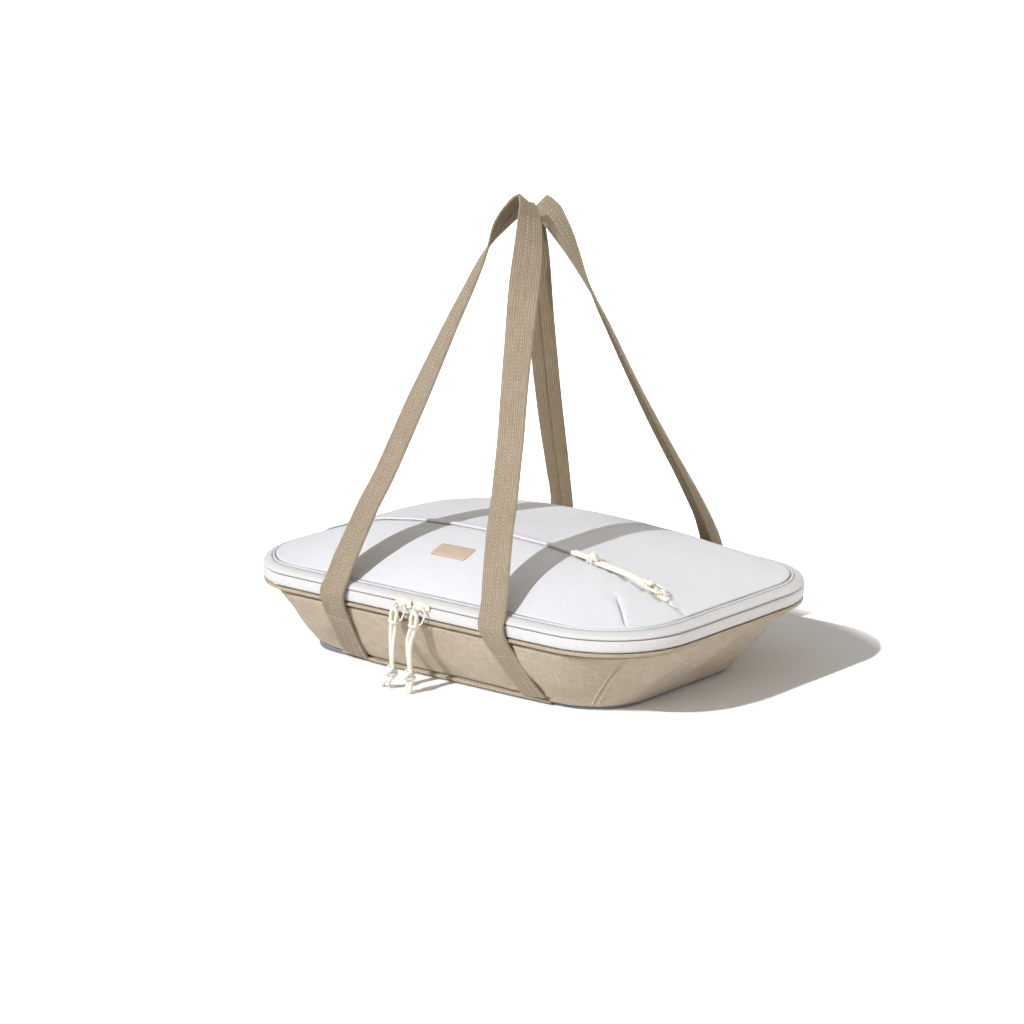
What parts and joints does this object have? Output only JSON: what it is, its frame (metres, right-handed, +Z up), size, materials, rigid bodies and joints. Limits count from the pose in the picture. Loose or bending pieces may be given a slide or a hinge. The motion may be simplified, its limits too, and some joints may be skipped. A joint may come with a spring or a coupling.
{
  "type": "casserole carrier",
  "caption": "Soft insulated rectangular tray with a domed zip-on lid, a pocket zip across the lid and two webbing loop handles that meet above it.",
  "frame": {"origin": "middle of the flat underside of the tray", "axes": "+Z up, +X to the right along the long side, front face with the sliders at -Y"},
  "size_m": [0.43, 0.3026, 0.3832],
  "materials": {
    "canvas": "heathered woven canvas, matt",
    "webbing": "ribbed cotton webbing, matt",
    "lid_canvas": "smooth woven canvas, matt",
    "tape": "woven zip tape, matt",
    "grey_cloth": "piping cloth, matt",
    "nylon": "moulded nylon, satin",
    "slider_metal": "white enamel, satin",
    "cord": "waxed cotton cord, matt",
    "foam": "closed-cell insulation foam",
    "lining": "wipe-clean coated lining, satin",
    "board": "stiff sheet, matt",
    "patch": "plain stitched patch, matt"
  },
  "bodies": {
    "tray": {"tray_shell": "canvas", "base_panel": "canvas", "base_board": "board", "tray_insulation": "foam", "tray_lining": "lining", "base_band_front": "canvas", "base_band_rear": "canvas", "rim_binding": "canvas", "lower_zip_tape": "tape", "lower_zip_coil": "nylon", "hinge_gusset_lower": "lid_canvas", "left_end_stop": "nylon", "right_end_stop": "nylon", "strap_end_front_left": "webbing", "strap_end_front_right": "webbing", "strap_end_rear_left": "webbing", "strap_end_rear_right": "webbing"},
    "lid": {"lid_front_panel": "lid_canvas", "lid_rear_panel": "lid_canvas", "lid_patch": "patch", "lid_insulation": "foam", "lid_lining": "lining", "lid_piping": "grey_cloth", "upper_zip_tape": "tape", "hinge_gusset_upper": "lid_canvas", "upper_zip_coil": "nylon", "pocket_zip_tape": "tape", "pocket_zip_coil": "nylon"},
    "front_handle": {"front_handle_strap": "webbing"},
    "rear_handle": {"rear_handle_strap": "webbing"},
    "left_slider": {"left_slider": "slider_metal"},
    "right_slider": {"right_slider": "slider_metal"},
    "pocket_slider": {"pocket_slider": "slider_metal"},
    "left_pull": {"left_pull_ring": "slider_metal", "left_pull_cord": "cord", "left_pull_knot": "cord"},
    "right_pull": {"right_pull_ring": "slider_metal", "right_pull_cord": "cord", "right_pull_knot": "cord"},
    "pocket_pull": {"pocket_pull_ring": "slider_metal", "pocket_pull_cord": "cord", "pocket_pull_knot": "cord"}
  },
  "joints": [
    {"name": "lid_hinge", "type": "hinge", "parent": "tray", "child": "lid", "pos_m": [0, 0.1423, 0.073], "axis": [-1, 0, 0], "range_deg": [0, 95]},
    {"name": "front_handle_swing", "type": "hinge", "parent": "tray", "child": "front_handle", "pos_m": [0, -0.1505, 0.07], "axis": [1, 0, 0], "range_deg": [0, 120]},
    {"name": "rear_handle_swing", "type": "hinge", "parent": "tray", "child": "rear_handle", "pos_m": [0, 0.1505, 0.07], "axis": [-1, 0, 0], "range_deg": [0, 120]},
    {"name": "left_slider_run", "type": "slide", "parent": "tray", "child": "left_slider", "axis": [-1, 0, 0], "range_m": [0, 0.045]},
    {"name": "right_slider_run", "type": "slide", "parent": "tray", "child": "right_slider", "axis": [1, 0, 0], "range_m": [0, 0.045]},
    {"name": "left_pull_swing", "type": "hinge", "parent": "left_slider", "child": "left_pull", "pos_m": [-0.009, -0.1461, 0.073], "axis": [-1, 0, 0], "range_deg": [-10, 85]},
    {"name": "right_pull_swing", "type": "hinge", "parent": "right_slider", "child": "right_pull", "pos_m": [0.009, -0.1461, 0.073], "axis": [-1, 0, 0], "range_deg": [-10, 85]},
    {"name": "pocket_slider_run", "type": "hinge", "parent": "lid", "child": "pocket_slider", "pos_m": [0, -0.0495, -0.48908], "axis": [0, -1, 0], "range_deg": [0, 25]},
    {"name": "pocket_pull_lift", "type": "hinge", "parent": "pocket_slider", "child": "pocket_pull", "pos_m": [0.1771, -0.0495, 0.09428], "axis": [0, 1, 0], "range_deg": [0, 120]}
  ],
  "couplings": [
    {"joint": "front_handle_swing", "follows": "lid_hinge", "ratio": 1.25},
    {"joint": "rear_handle_swing", "follows": "lid_hinge", "ratio": 1.25}
  ]
}
